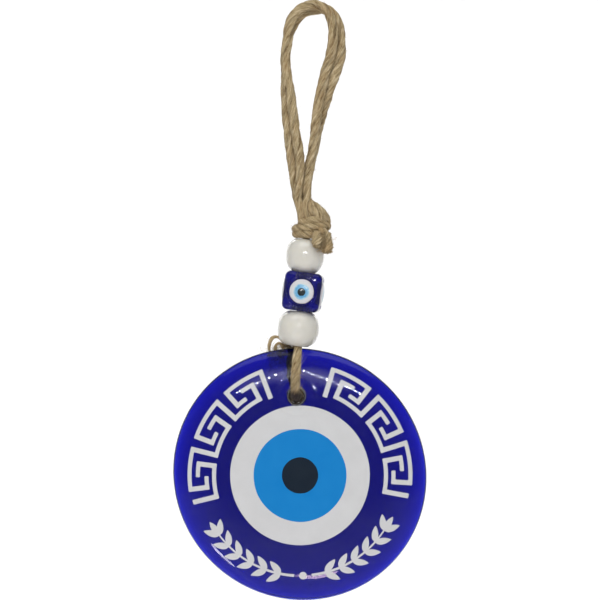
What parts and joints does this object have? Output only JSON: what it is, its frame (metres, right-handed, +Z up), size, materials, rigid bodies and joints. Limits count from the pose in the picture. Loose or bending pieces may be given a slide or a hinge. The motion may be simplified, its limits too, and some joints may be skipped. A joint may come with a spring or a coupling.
{
  "type": "evil eye hanging ornament",
  "caption": "Round domed blue glass disc printed with an eye, slung on a doubled jute cord under a stack of beads, with a knot and a long hanging loop.",
  "frame": {"origin": "the place under the top of the hanging loop where a nail or hook bears", "axes": "+Z up along the hanging ornament, the printed front faces -Y, +X to the viewer's right"},
  "size_m": [0.0999, 0.0189, 0.2362],
  "materials": {
    "cobalt_glass": "poured cobalt blue glass, fire-polished, slightly wavy, with small bubbles",
    "white_enamel": "screen-printed white enamel, satin",
    "sky_enamel": "screen-printed light blue enamel, satin",
    "dark_enamel": "screen-printed dark slate enamel, satin",
    "bead_white": "glossy off-white glaze",
    "bead_cobalt": "dark cobalt lampwork glass, glossy",
    "eye_pearl": "fused white glass dot, pearly gloss",
    "eye_sky": "fused light blue glass dot, gloss",
    "eye_black": "fused black glass dot, gloss",
    "jute": "three-ply twisted jute, matte, hairy"
  },
  "bodies": {
    "hanger": {"knot": "jute", "loop_back_strand": "jute", "loop_front_strand": "jute", "tail_inner": "jute", "tail_outer": "jute"},
    "sling": {"loose_ply": "jute", "sling": "jute"},
    "upper": {"upper_bead": "bead_white"},
    "cube": {"cube_bead": "bead_cobalt", "cube_eye_back_iris": "eye_sky", "cube_eye_back_pupil": "eye_black", "cube_eye_back_white": "eye_pearl", "cube_eye_front_iris": "eye_sky", "cube_eye_front_pupil": "eye_black", "cube_eye_front_white": "eye_pearl", "cube_eye_left_iris": "eye_sky", "cube_eye_left_pupil": "eye_black", "cube_eye_left_white": "eye_pearl", "cube_eye_right_iris": "eye_sky", "cube_eye_right_pupil": "eye_black", "cube_eye_right_white": "eye_pearl"},
    "lower": {"lower_bead": "bead_white"},
    "disc": {"eye_iris_print": "sky_enamel", "eye_pupil_print": "dark_enamel", "eye_white_print": "white_enamel", "garland_dot": "white_enamel", "glass_disc": "cobalt_glass", "key_left_1": "white_enamel", "key_left_2": "white_enamel", "key_left_3": "white_enamel", "key_left_4": "white_enamel", "key_right_1": "white_enamel", "key_right_2": "white_enamel", "key_right_3": "white_enamel", "key_right_4": "white_enamel", "sprig_left": "white_enamel", "sprig_right": "white_enamel"}
  },
  "joints": [
    {"name": "cord_twist", "type": "hinge", "parent": "hanger", "child": "sling", "pos_m": [-0.0026, 0, -0.0881], "axis": [0, 0, 1], "range_deg": [-180, 180]},
    {"name": "upper_bead_spin", "type": "hinge", "parent": "sling", "child": "upper", "pos_m": [-0.0031, 0, -0.0947], "axis": [0.1045, 0, 0.9945], "continuous": true},
    {"name": "cube_bead_spin", "type": "hinge", "parent": "sling", "child": "cube", "pos_m": [-0.00385, 0, -0.10885], "axis": [0.1305, 0, 0.9914], "continuous": true},
    {"name": "lower_bead_spin", "type": "hinge", "parent": "sling", "child": "lower", "pos_m": [-0.00575, 0, -0.12335], "axis": [0.1132, 0, 0.9936], "continuous": true},
    {"name": "disc_swing", "type": "hinge", "parent": "sling", "child": "disc", "pos_m": [-0.00652, 0, -0.14955], "axis": [0, 1, 0], "range_deg": [-7, 7]}
  ]
}
